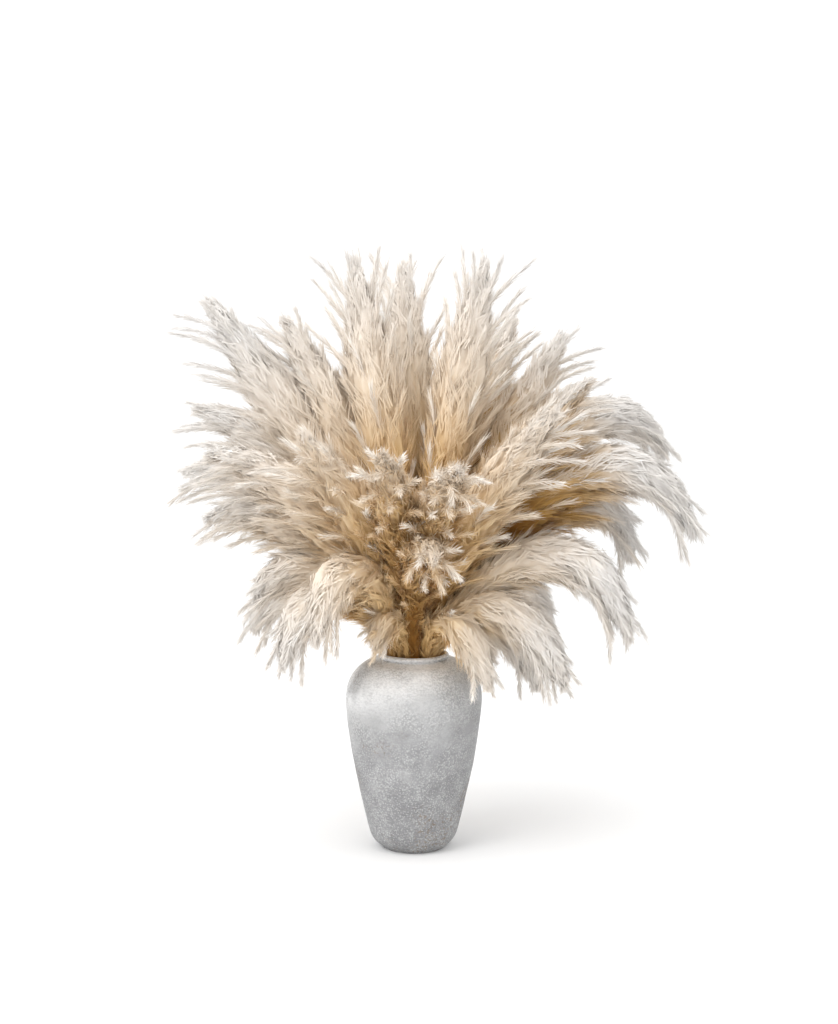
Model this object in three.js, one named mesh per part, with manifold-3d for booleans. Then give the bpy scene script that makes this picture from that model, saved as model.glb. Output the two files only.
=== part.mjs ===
// A bundle of dried pampas grass plumes standing in a white earthenware vase.
// Millimetres, +Z up. The origin is the centre of the vase's foot, on the surface that it stands on.
// Each plume is one grown piece: a stalk that stands on the vase's floor, leans through the mouth and
// goes on as the plume's slim core, with tapering locks of floss all round it.
import * as THREE from "three";
import { mergeVertices } from "three/addons/utils/BufferGeometryUtils.js";
import Module from "manifold-3d";

const wasm = await Module();
wasm.setup();

// Driving dimensions of the vase
const VASE_HEIGHT = 300;
const FOOT_RADIUS = 46;
const SHOULDER_RADIUS = 103;
const NECK_RADIUS = 50.5;
const LIP_RADIUS = 54;
const LIP_HEIGHT = 9;
const LIP_EDGE = 3;
const MOUTH_RADIUS = 45;
const WALL = 7;
const VASE_FLOOR = 9;
const INNER_FLOOR_RADIUS = 50;
const VASE_SIDES = 28;
const BODY_STEPS = 9;

// Driving dimensions of the bundle
const STALK_GAP = 0.3;
const STALK_RADIUS = 2.3;
const CORE_RADIUS = 9;
const CORE_TIP_SHARE = 0.6;
const CORE_FULL_FROM = 0.33;
const CORE_SIDES = 4;
const CORE_STEPS = 8;
const STALK_LEAD = 90;
const STALK_TWIST = THREE.MathUtils.degToRad(110);
const STALK_FOOT_SPREAD = 1.15;
const MOUTH_SPOT_RADIUS = 36;
const MOUTH_SPOT_SPACING = 11;
const SPOT_ROUNDS = 300;

// Driving dimensions of the locks
const LOCK_PITCH = 19;
const LOCK_START = 0.04;
const LOCK_TIP_SETBACK = 0.85;
const LOCK_CROWDING = 0.8;
const LOCK_RADIUS = 12;
const LOCK_SHARE_AT_MOUTH = 0.5;
const LOCK_FULL_FROM = 0.33;
const LOCK_SHARE_AT_TIP = 0.9;
const LOCK_LENGTH_VARIES = 0.15;
const LOCK_SPREAD_VARIES = 0.25;
const LOCK_WIDEST = 0.42;
const LOCK_SPREAD = THREE.MathUtils.degToRad(28);
const LOCK_DROOP = 0.55;
const LOCK_FLARE = 0.2;
const LOCK_SIDES = 3;
const LOCK_PARTS = 3;
const GOLDEN_ANGLE = Math.PI * (3 - Math.sqrt(5));
const CLEARANCE = 0.8;
const TRIES = 12;
const TRY_TURN = 0.25;
const TRY_SHRINK = 0.06;
const VASE_CLEARANCE = 3;
const SHORTEST_EDGE = 0.01;

// Each plume: the way it leans, in degrees anticlockwise from +X seen from above, how far its tip
// reaches from the vase's axis, the tip's height, the reach and height of its arch, and the length of
// its longest locks.
const PLUMES = [
  // left side, from the top down
  [190, 315, 845, 185, 690, 120],
  [168, 350, 672, 235, 680, 115],
  [206, 338, 622, 225, 650, 110],
  [176, 352, 572, 245, 650, 110],
  [194, 318, 515, 215, 600, 105],
  [200, 250, 390, 190, 520, 100],
  [161, 262, 312, 225, 470, 95],
  [221, 250, 305, 200, 505, 95],
  // upright ones at the top
  [205, 98, 905, 70, 700, 125],
  [192, 200, 818, 115, 680, 115],
  [345, 112, 902, 70, 700, 125],
  [98, 115, 895, 75, 680, 120],
  [17, 245, 786, 150, 640, 110],
  [344, 275, 730, 185, 650, 110],
  // right side, from the top down
  [22, 432, 570, 312, 850, 110],
  [353, 422, 474, 312, 790, 115],
  [8, 336, 425, 300, 690, 100],
  [340, 338, 333, 265, 605, 105],
  [24, 232, 308, 185, 480, 85],
  [328, 262, 270, 185, 460, 95],
  [352, 190, 248, 150, 400, 80],
  // the front
  [318, 278, 690, 170, 600, 115],
  [232, 262, 660, 165, 580, 115],
  [261, 275, 640, 140, 560, 95],
  [277, 255, 478, 165, 540, 95],
  [282, 310, 618, 190, 610, 100],
  [312, 165, 268, 128, 395, 75],
  [240, 108, 322, 92, 380, 65],
  [234, 238, 345, 190, 560, 100],
  // the back
  [45, 225, 808, 140, 660, 115],
  [122, 270, 715, 175, 650, 115],
  [82, 340, 560, 240, 650, 110],
  [45, 350, 480, 260, 620, 110],
  [140, 340, 470, 260, 600, 110],
  [105, 300, 400, 230, 520, 105],
];

const material = (color, roughness) => new THREE.MeshStandardMaterial({ color, roughness, metalness: 0 });
const GLAZE = material(0xd9d9d8, 0.75);
const FLOSS = material(0xdcc7a6, 0.95);

// A repeatable draw from 0 to 1 for item i of set k.
function draw(i, k) {
  const x = Math.sin(i * 12.9898 + k * 78.233) * 43758.5453;
  return x - Math.floor(x);
}

const upright = (radius, angle, height) =>
  new THREE.Vector3(radius * Math.cos(angle), radius * Math.sin(angle), height);

// A closed three.js geometry as a solid that can be joined.
function solidOf(geometry) {
  const bare = geometry.clone();
  bare.deleteAttribute("normal");
  bare.deleteAttribute("uv");
  const merged = mergeVertices(bare, 1e-4);
  return new wasm.Manifold(
    new wasm.Mesh({
      numProp: 3,
      vertProperties: merged.attributes.position.array,
      triVerts: new Uint32Array(merged.index.array),
    }),
  );
}

// Whether a join left two corners of a face so close that they could merge.
function hasTinyEdge(solid) {
  const { vertProperties, triVerts } = solid.getMesh();
  const corner = (k) => new THREE.Vector3().fromArray(vertProperties, 3 * triVerts[k]);
  for (let k = 0; k < triVerts.length; k += 3) {
    const [a, b, c] = [corner(k), corner(k + 1), corner(k + 2)];
    if (Math.min(a.distanceTo(b), b.distanceTo(c), c.distanceTo(a)) < SHORTEST_EDGE) return true;
  }
  return false;
}

function geometryOf(solid) {
  const mesh = solid.getMesh();
  const geometry = new THREE.BufferGeometry();
  geometry.setAttribute("position", new THREE.BufferAttribute(new Float32Array(mesh.vertProperties), 3));
  geometry.setIndex(new THREE.BufferAttribute(new Uint32Array(mesh.triVerts), 1));
  geometry.computeVertexNormals();
  return geometry;
}

// The vase's outer outline, from the edge of its foot up to its neck, as radius and height.
const bodyOutline = new THREE.SplineCurve([
  new THREE.Vector2(FOOT_RADIUS, 0),
  new THREE.Vector2(61, 13),
  new THREE.Vector2(70, 36),
  new THREE.Vector2(86, 107),
  new THREE.Vector2(96, 160),
  new THREE.Vector2(SHOULDER_RADIUS, 226),
  new THREE.Vector2(97, 260),
  new THREE.Vector2(76, 284),
  new THREE.Vector2(NECK_RADIUS, VASE_HEIGHT - LIP_HEIGHT + 1),
]);

function makeVase() {
  const outside = bodyOutline.getSpacedPoints(BODY_STEPS);
  const inside = outside
    .map((p, i) => {
      const along = bodyOutline.getTangentAt(i / BODY_STEPS);
      return new THREE.Vector2(p.x - WALL * along.y, p.y + WALL * along.x);
    })
    .filter((p) => p.y > VASE_FLOOR + WALL && p.y < VASE_HEIGHT - LIP_HEIGHT - LIP_EDGE)
    .reverse();
  const profile = [
    new THREE.Vector2(0, 0),
    ...outside,
    new THREE.Vector2(LIP_RADIUS, VASE_HEIGHT - LIP_EDGE),
    new THREE.Vector2(LIP_RADIUS - LIP_EDGE, VASE_HEIGHT),
    new THREE.Vector2(MOUTH_RADIUS + LIP_EDGE, VASE_HEIGHT),
    new THREE.Vector2(MOUTH_RADIUS, VASE_HEIGHT - LIP_EDGE),
    new THREE.Vector2(MOUTH_RADIUS, VASE_HEIGHT - LIP_HEIGHT),
    ...inside,
    new THREE.Vector2(INNER_FLOOR_RADIUS, VASE_FLOOR),
    new THREE.Vector2(0, VASE_FLOOR),
  ];
  const turned = new THREE.LatheGeometry(profile, VASE_SIDES);
  turned.rotateX(Math.PI / 2);
  return turned;
}

// Where each stalk passes the mouth: started by how far its plume leans, then pushed apart.
function mouthSpots() {
  const spots = PLUMES.map(([azimuth, reach, height]) => {
    const lean = Math.min(1, Math.atan2(reach, height - VASE_HEIGHT) / (Math.PI / 2));
    const angle = THREE.MathUtils.degToRad(azimuth);
    return new THREE.Vector2(Math.cos(angle), Math.sin(angle)).multiplyScalar(MOUTH_SPOT_RADIUS * lean);
  });
  for (let round = 0; round < SPOT_ROUNDS; round++) {
    spots.forEach((spot, i) => {
      for (let j = 0; j < i; j++) {
        const apart = spot.clone().sub(spots[j]);
        const distance = Math.max(apart.length(), 1e-6);
        if (distance >= MOUTH_SPOT_SPACING) continue;
        apart.multiplyScalar((MOUTH_SPOT_SPACING - distance) / 2 / distance);
        spot.add(apart);
        spots[j].sub(apart);
      }
    });
    spots.forEach((spot) => spot.clampLength(0, MOUTH_SPOT_RADIUS));
  }
  return spots;
}

// A plume's line: the straight stalk in the vase, then one arch from the mouth to the tip.
function plumeLine([azimuth, reach, height, archReach, archHeight, lockLength], spot) {
  const angle = THREE.MathUtils.degToRad(azimuth);
  const mouth = new THREE.Vector3(spot.x, spot.y, VASE_HEIGHT);
  const turnedSpot = spot.clone().rotateAround(new THREE.Vector2(), STALK_TWIST);
  turnedSpot.multiplyScalar(STALK_FOOT_SPREAD);
  const foot = new THREE.Vector3(turnedSpot.x, turnedSpot.y, VASE_FLOOR + STALK_GAP);
  // The stalk is cut square across, so a leaning one stands on the edge of its cut end.
  const stalk = mouth.clone().sub(foot);
  foot.z += (STALK_RADIUS * Math.hypot(stalk.x, stalk.y)) / stalk.length();
  const lead = mouth.clone().sub(foot).setLength(STALK_LEAD).add(mouth);
  const arch = new THREE.CubicBezierCurve3(
    mouth,
    lead,
    upright(archReach, angle, archHeight),
    upright(reach, angle, height),
  );
  return { foot, arch, lockLength, across: new THREE.Vector3(-Math.sin(angle), Math.cos(angle), 0) };
}

// A tube through the points with the given radii, closed at both ends. A radius of 0 makes a point.
function taperedTube(points, radii, sides, across) {
  const vertices = [];
  const faces = [];
  const rings = points.map((point, i) => {
    const first = vertices.length / 3;
    const before = points[Math.max(0, i - 1)];
    const after = points[Math.min(points.length - 1, i + 1)];
    const along = after.clone().sub(before).normalize();
    const side = across.clone().addScaledVector(along, -across.dot(along)).normalize();
    const lift = side.clone().cross(along);
    for (let s = 0; s < (radii[i] > 0 ? sides : 1); s++) {
      const turn = (2 * Math.PI * s) / sides;
      const rim = point.clone();
      rim.addScaledVector(side, radii[i] * Math.cos(turn));
      rim.addScaledVector(lift, radii[i] * Math.sin(turn));
      vertices.push(...rim);
    }
    return (s) => first + (radii[i] > 0 ? s % sides : 0);
  });
  for (let i = 0; i < rings.length - 1; i++) {
    const [low, high] = [rings[i], rings[i + 1]];
    for (let s = 0; s < sides; s++) {
      if (radii[i] > 0) faces.push(low(s), high(s), low(s + 1));
      if (radii[i + 1] > 0) faces.push(low(s + 1), high(s), high(s + 1));
    }
  }
  const end = rings[rings.length - 1];
  for (let s = 1; s < sides - 1; s++) {
    if (radii[0] > 0) faces.push(rings[0](0), rings[0](s), rings[0](s + 1));
    if (radii[radii.length - 1] > 0) faces.push(end(0), end(s + 1), end(s));
  }
  const geometry = new THREE.BufferGeometry();
  geometry.setAttribute("position", new THREE.Float32BufferAttribute(vertices, 3));
  geometry.setIndex(faces);
  return solidOf(geometry);
}

// The stalk and the plume's core as the points of one tube, which ends in the plume's tip.
function corePoints(line) {
  const points = [line.foot];
  for (let i = 0; i <= CORE_STEPS; i++) points.push(line.arch.getPointAt(i / CORE_STEPS));
  return points;
}

// The core swells along the plume as far as its neighbours' lines leave room.
function coreRadii(points, others) {
  return points.map((point, i) => {
    if (i < 2) return STALK_RADIUS;
    if (i === points.length - 1) return 0;
    const u = (i - 1) / CORE_STEPS;
    const swell = THREE.MathUtils.lerp(1, CORE_TIP_SHARE, u) * Math.min(1, u / CORE_FULL_FROM);
    let room = Infinity;
    for (const other of others) {
      for (let k = 1; k < other.length; k++) {
        const before = distanceBetween(points[i - 1], point, other[k - 1], other[k]);
        const after = distanceBetween(point, points[i + 1], other[k - 1], other[k]);
        room = Math.min(room, before, after);
      }
    }
    return Math.max(STALK_RADIUS * (1 - u), Math.min(CORE_RADIUS * swell, (room - CLEARANCE) / 2));
  });
}

// The place in the middle of the core's tube at u of its arch.
function insideCore(points, u) {
  const step = Math.min(CORE_STEPS - 1, Math.floor(u * CORE_STEPS));
  return points[step + 1].clone().lerp(points[step + 2], u * CORE_STEPS - step);
}

// Where along the arch each lock of a plume is rooted, from the mouth to a little short of the tip.
// A long plume has more of them, and they stand closer towards its tip.
function lockRoots(line) {
  const length = line.arch.getLength();
  const last = 1 - (LOCK_TIP_SETBACK * line.lockLength) / length;
  const count = Math.round(((last - LOCK_START) * length) / LOCK_PITCH);
  return Array.from({ length: count }, (_, i) =>
    THREE.MathUtils.lerp(LOCK_START, last, Math.pow((i + 0.5) / count, LOCK_CROWDING)),
  );
}

// How long and thick a lock is at u of its plume: small at the mouth, full along the middle.
function lockSwell(u) {
  const fromMouth = THREE.MathUtils.lerp(LOCK_SHARE_AT_MOUTH, 1, Math.min(1, u / LOCK_FULL_FROM));
  return fromMouth * Math.min(1, THREE.MathUtils.mapLinear(u, 0.75, 1, 1, LOCK_SHARE_AT_TIP));
}

// Lock number i of a plume, turned about the core and drawn in by a further step at each try.
function lockPath(line, core, u, plume, i, attempt) {
  const root = insideCore(core, u);
  const along = line.arch.getTangentAt(u);
  const side = line.across.clone().addScaledVector(along, -line.across.dot(along)).normalize();
  const lift = side.clone().cross(along);
  const turn = attempt * TRY_TURN * (attempt % 2 ? 1 : -1);
  const roll = i * GOLDEN_ANGLE + plume + turn;
  const out = side.multiplyScalar(Math.cos(roll)).addScaledVector(lift, Math.sin(roll));
  const shrink = 1 - TRY_SHRINK * attempt;
  const swell = lockSwell(u);
  const length = line.lockLength * swell * shrink * (1 + LOCK_LENGTH_VARIES * (2 * draw(i, plume) - 1));
  const spread = LOCK_SPREAD * shrink * (1 + LOCK_SPREAD_VARIES * (2 * draw(plume, i) - 1));
  const start = along.clone().multiplyScalar(Math.cos(spread)).addScaledVector(out, Math.sin(spread));
  const end = start.clone().addScaledVector(out, LOCK_FLARE);
  end.z -= LOCK_DROOP * Math.hypot(start.x, start.y);
  end.normalize();
  const widest = root.clone().addScaledVector(start, length * LOCK_WIDEST);
  return {
    points: [root, widest, widest.clone().addScaledVector(end, length * (1 - LOCK_WIDEST))],
    radii: [0, LOCK_RADIUS * swell * shrink, 0],
    across: out,
  };
}

// The least distance between two straight pieces, each given by its ends.
function distanceBetween(a, b, c, d) {
  const ab = b.clone().sub(a);
  const cd = d.clone().sub(c);
  const ac = a.clone().sub(c);
  const aa = ab.dot(ab);
  const cc = cd.dot(cd);
  const cross = ab.dot(cd);
  const fa = ab.dot(ac);
  const fc = cd.dot(ac);
  const spanned = aa * cc - cross * cross;
  let s = spanned > 1e-9 ? THREE.MathUtils.clamp((cross * fc - fa * cc) / spanned, 0, 1) : 0;
  const t = THREE.MathUtils.clamp((cross * s + fc) / cc, 0, 1);
  s = THREE.MathUtils.clamp((cross * t - fa) / aa, 0, 1);
  return a.clone().addScaledVector(ab, s).distanceTo(c.clone().addScaledVector(cd, t));
}

// A tube cut into short straight stretches, each with its widest radius and the ball that holds it.
function stretches(points, radii, plume) {
  const list = [];
  for (let i = 1; i < points.length; i++) {
    for (let k = 0; k < LOCK_PARTS; k++) {
      const from = points[i - 1].clone().lerp(points[i], k / LOCK_PARTS);
      const to = points[i - 1].clone().lerp(points[i], (k + 1) / LOCK_PARTS);
      const low = THREE.MathUtils.lerp(radii[i - 1], radii[i], k / LOCK_PARTS);
      const high = THREE.MathUtils.lerp(radii[i - 1], radii[i], (k + 1) / LOCK_PARTS);
      const radius = Math.max(low, high);
      const middle = from.clone().add(to).multiplyScalar(0.5);
      list.push({ from, to, radius, plume, middle, ball: from.distanceTo(to) / 2 + radius + CLEARANCE });
    }
  }
  return list;
}

function clearOf(own, placed) {
  return own.every((a) =>
    placed.every((b) => {
      if (a.plume === b.plume || a.middle.distanceTo(b.middle) > a.ball + b.ball) return true;
      return distanceBetween(a.from, a.to, b.from, b.to) > a.radius + b.radius + CLEARANCE;
    }),
  );
}

// Whether a lock's stretches all pass over the vase or outside the widest that it gets.
function outsideVase(own) {
  return own.every(({ to, radius }) => {
    const room = radius + VASE_CLEARANCE;
    return to.z > VASE_HEIGHT + room || Math.hypot(to.x, to.y) > SHOULDER_RADIUS + room;
  });
}

const group = new THREE.Group();

const vaseMesh = new THREE.Mesh(makeVase(), GLAZE);
vaseMesh.name = "vase";
group.add(vaseMesh);

const spots = mouthSpots();
const lines = PLUMES.map((row, i) => plumeLine(row, spots[i]));
const cores = lines.map(corePoints);
const radii = cores.map((core, i) => coreRadii(core, cores.filter((other, k) => k !== i)));
const placed = cores.flatMap((core, i) => stretches(core, radii[i], i));
const joined = lines.map((line, i) => taperedTube(cores[i], radii[i], CORE_SIDES, line.across));

// One lock of each plume in turn, from the tips down, so that no plume takes all the room.
const roots = lines.map(lockRoots);
const mostLocks = Math.max(...roots.map((list) => list.length));
for (let fromTip = 1; fromTip <= mostLocks; fromTip++) {
  lines.forEach((line, plume) => {
    const lock = roots[plume].length - fromTip;
    if (lock < 0) return;
    for (let attempt = 0; attempt < TRIES; attempt++) {
      const path = lockPath(line, cores[plume], roots[plume][lock], plume, lock, attempt);
      const own = stretches(path.points, path.radii, plume);
      if (!outsideVase(own) || !clearOf(own, placed)) continue;
      const grown = joined[plume].add(taperedTube(path.points, path.radii, LOCK_SIDES, path.across));
      if (hasTinyEdge(grown)) continue;
      placed.push(...own);
      joined[plume] = grown;
      return;
    }
  });
}

joined.forEach((solid, i) => {
  const plume = new THREE.Mesh(geometryOf(solid), FLOSS);
  plume.name = "plume_" + String(i + 1).padStart(2, "0");
  group.add(plume);
});

export default group;
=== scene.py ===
# A bundle of dried pampas grass plumes standing in a white earthenware vase.
import math

import bpy
import numpy as np
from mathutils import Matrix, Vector


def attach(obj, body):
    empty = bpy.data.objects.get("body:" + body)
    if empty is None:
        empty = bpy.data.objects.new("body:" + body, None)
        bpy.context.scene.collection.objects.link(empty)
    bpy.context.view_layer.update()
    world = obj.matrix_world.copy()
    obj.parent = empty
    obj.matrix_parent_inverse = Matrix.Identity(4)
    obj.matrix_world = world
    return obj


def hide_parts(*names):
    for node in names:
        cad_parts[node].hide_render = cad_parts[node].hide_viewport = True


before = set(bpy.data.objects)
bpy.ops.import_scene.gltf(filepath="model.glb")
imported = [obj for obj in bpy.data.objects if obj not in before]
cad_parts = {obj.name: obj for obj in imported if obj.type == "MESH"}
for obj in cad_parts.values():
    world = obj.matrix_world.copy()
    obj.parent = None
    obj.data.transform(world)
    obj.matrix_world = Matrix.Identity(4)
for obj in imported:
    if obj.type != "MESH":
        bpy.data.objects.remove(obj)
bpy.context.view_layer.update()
bpy.ops.object.select_all(action="DESELECT")

MM = 0.001
TINY = 1e-12

# The camera: straight in front of the object, looking a little down on it
VIEW_TARGET = Vector((0.0082, 0, 0.514))
VIEW_DISTANCE = 3.2
VIEW_ELEVATION = math.radians(7.5)
VIEW_LENS = 75
VIEW_END = 50
FILM_HEIGHT = 36

# The light: a white sky, and round lamps with their place, width in metres and power in watts
SKY_STRENGTH = 1.18
LAMPS = {
    "key": ((-1.9, -2.2, 2.6), 2.4, 50),
    "overhead": ((-0.2, -0.5, 2.7), 2.0, 25),
}
LAMPS_AIM = (0, 0, 0.5)

# The floor, in metres, which sweeps up behind the object
FLOOR_FRONT = -6.0
FLOOR_BACK = 4.0
FLOOR_SIDE = 8.0
FLOOR_TOP = 3.5
FLOOR_SWEEP = 1.2
FLOOR_SWEEP_STEPS = 12

# The vase's outer outline, as radius and height in millimetres, from its foot up to its neck, and
# then around its lip
VASE_OUTLINE = [
    (46, 0),
    (61, 13),
    (70, 36),
    (86, 107),
    (96, 160),
    (103, 226),
    (97, 260),
    (76, 284),
    (50.5, 292),
]
VASE_LIP = [(54, 297), (51, 300), (48, 300), (45, 297), (45, 291)]
VASE_WALL = 7 * MM
VASE_FLOOR = 9 * MM
VASE_HEIGHT = 300 * MM
VASE_INNER_FLOOR_RADIUS = 50 * MM
VASE_SIDES = 144
VASE_STEPS_PER_STRETCH = 7
VASE_LIP_STEPS = 5
VASE_INNER_STEPS = 20
VASE_INNER_TOP_GAP = 2 * MM
VASE_SAME_PLACE = 0.01 * MM
VASE_CREASE = math.radians(50)
VASE_WAVE = 2.6 * MM
VASE_WAVE_SIZE = 75 * MM
VASE_FOOT_BAND = 1.5 * MM

# The stalks and the lines that the plumes follow
STALK_RADIUS = 2.3 * MM
STALK_GAP = 0.3 * MM
STALK_LEAD = 90 * MM
STALK_TWIST = math.radians(110)
STALK_FOOT_SPREAD = 1.15
STALK_SIDES = 6
STALK_STEPS = 26
STALK_TAPER = 0.85
STALK_TINT = 0.06
STALK_TINT_VARIES = 0.05
STALK_END_TINT = 0.05
MOUTH_SPOT_RADIUS = 36 * MM
MOUTH_SPOT_SPACING = 11 * MM
SPOT_ROUNDS = 300
ARCH_DIVISIONS = 200

# The locks of floss along a plume
LOCK_PITCH = 10.5 * MM
LOCK_START = 0.03
LOCK_TIP_SETBACK = 0.6
LOCK_LEAST_AHEAD = 0.72
LOCK_CROWDING = 0.8
LOCK_SHARE_AT_MOUTH = 0.5
LOCK_FULL_FROM = 0.33
LOCK_SHRINKS_FROM = 0.75
LOCK_SHARE_AT_TIP = 0.9
LOCK_LENGTH_VARIES = 0.15
LOCK_LEAST_SPREAD = math.radians(6)
LOCK_SPREAD = math.radians(22)
LOCK_DROOP = 0.55
LOCK_FLARE = 0.2
LOCK_ROOT_SHARE = 0.5
LOCK_WIDEST = 0.42
LOCK_WAVE = 2.5 * MM
LOCK_WAVES = 1.3
LOCK_LEAST_BEND = 1e-4
LOCK_HELD_ON_TOP = 0.9
LOCK_SHORTER_ON_TOP = 0.3
LOCK_TOP_MATTERS_FROM = 0.35
LOCK_LEAST_LEVEL = 0.01
LOCK_HANGS = 0.75
LOCK_TINT_VARIES = 0.16
LOCK_PLACE_VARIES = 0.06
LOCK_TIP_PALES = 2.6
LOCK_PALES_FROM = 0.5
LOCK_PALES_FULL_AT = 5 / 6
LOCK_PALES_LATE = 1.5
GOLDEN_ANGLE = math.pi * (3 - math.sqrt(5))

# A plume's dense core, as shares of its longest lock and of its own radius
CORE_SHARE = 0.29
CORE_SHARE_AT_MOUTH = 0.1
CORE_FULL_FROM = 0.5
CORE_TAPERS_FROM = 0.7
CORE_TAPER_ROUNDNESS = 0.75
CORE_START = -0.06
CORE_END = 0.94
CORE_CLOSES_AT = 0.96
CORE_RINGS = 28
CORE_SIDES = 32
CORE_GROOVES = 0.12
CORE_UNEVEN = 0.12
CORE_WAVES = 0.07
CORE_WAVES_AROUND = 3
CORE_WAVES_TURN = 0.5
CORE_SAG = 9 * MM
CORE_TINT = 0.3
CORE_TINT_VARIES = 0.2
# The core's grooves are darker: hair-like streaks and painted shade in the grooves
CORE_GROOVE_PAINTED_SHADE = 0.25
CORE_START_TINT = 0.1

# The short tufts that cover the core, each a bunch of hairs
TUFT_SEED = 300
TUFT_PITCH = 1.53 * MM
TUFT_LAST = 0.97
TUFT_CROWDING = 0.95
TUFT_SHORTENS_FROM = 0.6
TUFT_SHORTENS_BY = 0.45
TUFT_HAIRS = 12
TUFT_LENGTH = 38 * MM
TUFT_LENGTH_VARIES = (0.75, 1.25)
TUFT_ROOT_LIFT = 0.5 * MM
TUFT_ROOT_SPREAD = 8 * MM
TUFT_ROOT_ASIDE = 0.6
TUFT_ROOT_UP = (-0.3, 0.3)
TUFT_ROOT_BACK = (-0.3, 0.2)
TUFT_TIP_SPREAD = 5.5 * MM
TUFT_TIP_ASIDE = 0.7
TUFT_TIP_UP = (0.2, 0.8)
TUFT_TIP_AHEAD = (0.8, 1.05)
TUFT_ROLL_VARIES = 0.3
TUFT_RISE = math.radians(16)
TUFT_RISE_VARIES = (0.3, 1.6)
TUFT_LOWER_ON_TOP = 0.45
TUFT_SLOPE_STEP = 0.02
TUFT_SWAY = 0.24
TUFT_HANGS = 0.25
TUFT_FACES_AHEAD = 0.4
TUFT_FACING_VARIES = 0.12
TUFT_WIDTH = 2.1 * MM
TUFT_THICKNESS = 0.6 * MM
TUFT_TINT = 0.3
TUFT_TINT_GAIN = 0.38
TUFT_TONE_VARIES = 0.08
TUFT_HAIR_TONE_VARIES = 0.06
TUFT_PLACE_GAIN = 0.1

# How far the floss may reach past the end of its plume's line
TIP_ALLOWANCE = 6 * MM

# Painted shade: floss on a plume's underside is painted deeper in colour and more golden, as if shaded by
# the plume above it
UNDERSIDE_PAINTED_SHADE = 0.3
UNDERSIDE_SHADE_GOLD = 3.5
UNDERSIDE_LEAST = -0.3
TUFT_SHADED_FROM = 0.1
LOCK_SHADED_FROM = 0.3

# Plumes that are paler than the rest, or darker where the value is below 0, by their place in the
# list of plumes, counted from 0; the darker ones, mostly on the right, carry painted shade
PALENESS_AND_PAINTED_SHADE = {
    12: -0.5,
    13: -0.85,
    14: -0.85,
    15: -1.0,
    16: -0.65,
    17: 0.55,
    18: 0.55,
    19: 0.45,
    20: 0.55,
    26: 0.5,
    27: 0.5,
    28: 0.45,
    29: -0.55,
}

# The floss is golden at the heart of the bunch, and paler the farther it is from there, in metres; the
# deeper gold there is partly the floss's own colour and partly painted shade deep inside the bunch
HEART = np.array([0.0, 0.0, 0.50])
HEART_REACH = 0.335
HEART_SHARE = 0.8
HEART_NARROWS_DOWN = 2.6
HEART_NARROWEST = 0.48
HEART_AFT_SHARE = 0.33
HEART_AFT_FROM = 0.17
HEART_PAST_AFT_SHARE = 0.75
HEART_UP_SHARE = 0.74
HEART_DOWN_SHARE = 0.33
HEART_LOW_GOLD = 0.15
HEART_LOW = 0.2
# Painted shade between the stalks, just above the mouth
CLEFT_SHADE_DEEPENS = 0.8
CLEFT_RADIUS = 0.08
CLEFT_AFT_SHARE = 0.6
CLEFT_FADES_OVER = 0.1

# The second tint runs from the bottom of the floss to its top, and past that to the white puffs; its low
# end is darker, partly as painted shade deep in the floss
DEPTH_MOST = 0.95
PUFF_RANGE = 0.045
PUFFS_FROM = 0.9
PUFFS_FULL_AT = 1.4
PUFFS_WITHIN = 0.375
TIP_PALES_FROM = 0.7
TIP_PALES_BY = 0.3
OUTER_EVENNESS = 0.95
PALENESS_AND_SHADE_FULL_TO = 0.6
PALENESS_AND_SHADE_ENDS_AT = 1.1
PALENESS_AND_SHADE_FADES_FROM = 0.8
PALENESS_AND_SHADE_MOVES_PLACE = 0.3
PALENESS_AND_SHADE_MOST_IN_PLACE = 0.1
TINT_LEAST = 0.004
TINT_MOST = 0.996

# One lock: a slim body inside a brush of fine hairs, with places as shares of its length
LOCK_KINDS = 6
LOCK_KIND_STEP = 5
LOCK_SEED = 100
LOCK_RADIUS = 11 * MM
BODY_RADIUS = 2.2 * MM
BODY_SIDES = 4
BODY_RINGS = 5
BODY_END = 0.92
BODY_SHRINKS_OVER = 0.5
BODY_VARIES = (0.75, 1.2)
BODY_TINT = 0.12
BODY_STREAK = 0.1
BRUSH_END = 1.3
BRUSH_SHRINKS_OVER = 0.6
OUTLINE_SWELLS_OVER = 0.3
OUTLINE_ROUNDNESS = 0.7
BRUSH_ROOT_ROUNDNESS = 0.6
HAIRS = 70
HAIR_BASE = 0.58
HAIR_WIDTH = 1.9 * MM
HAIR_WIDTH_VARIES = (0.8, 1.2)
HAIR_THICKNESS = 0.6 * MM
HAIR_LENGTH = 0.2
HAIR_LENGTH_VARIES = (0.75, 1.25)
HAIR_FIRST_ROOT = 0.2
HAIR_LAST_ROOT = 0.92
HAIR_ROOT_CROWDING = 0.85
HAIR_ROOT_SHARE = 0.9
HAIR_LAST_END = 1.08
HAIR_LAST_END_VARIES = (-0.1, 0.02)
HAIR_TURN_VARIES = 0.4
HAIR_SWIRL = 0.35
HAIR_FLAT_VARIES = 0.5
HAIR_REACH_VARIES = (0.55, 1.1)
HAIR_TINT = 0.1
HAIR_TIP_TONE = 0.16
STRAY_SHARE = 0.15
STRAY_REACH = 1.5
TINT_GAIN = 0.6
TONE_VARIES = 0.08
LOCK_FACES_OUT = 0.6

# How much a flat normal counts where the soft one is full
FLAT_LEAST = 0.001

# Tints change a little across a hair and around a body, so that no triangle's UV is a point
TINT_ACROSS = 0.008
TINT_THROUGH = 0.004
TINT_AROUND = 0.01
TINT_AROUND_STALK = 0.006

# The room that the floss leaves around the vase
VASE_CLEARANCE = 1.5 * MM
MOUTH_DEPTH = 45 * MM
MOUTH_WALL_REACH = 3 * MM

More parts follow.
